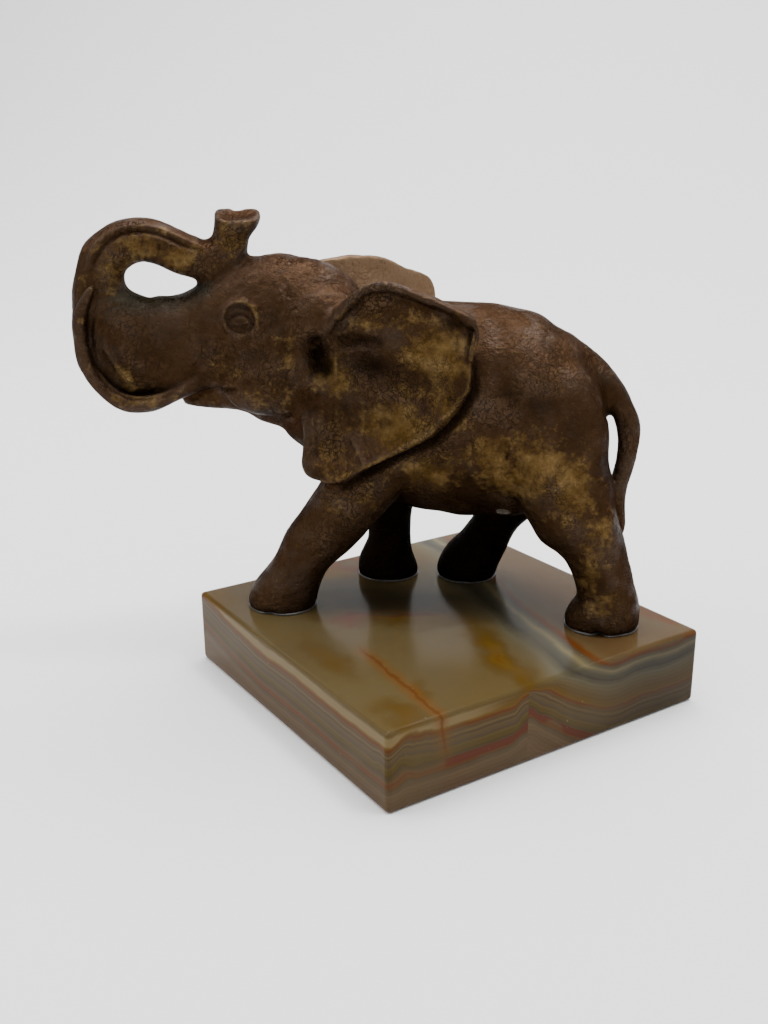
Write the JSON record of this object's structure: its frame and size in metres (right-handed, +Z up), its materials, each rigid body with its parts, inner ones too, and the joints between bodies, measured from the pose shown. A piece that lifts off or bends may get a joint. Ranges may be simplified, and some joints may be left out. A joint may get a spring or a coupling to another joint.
{
  "type": "elephant figurine",
  "caption": "Figurine of a striding elephant with its raised trunk curled back over its brow, cast in patinated metal and set cornerwise on a square slab of polished onyx.",
  "frame": {"origin": "middle of the slab's underside", "axes": "+Z up; the elephant faces -X along the slab's diagonal, with its left side towards -Y"},
  "size_m": [0.1717, 0.1404, 0.1302],
  "materials": {
    "bronze": "cast bronze-coloured metal with a dark reddish-brown patina, rubbed golden on the high places",
    "onyx": "polished opaque banded onyx stone in olive, beige, brick red and grey"
  },
  "bodies": {
    "root": {"elephant": "bronze", "plinth": "onyx"}
  },
  "joints": []
}
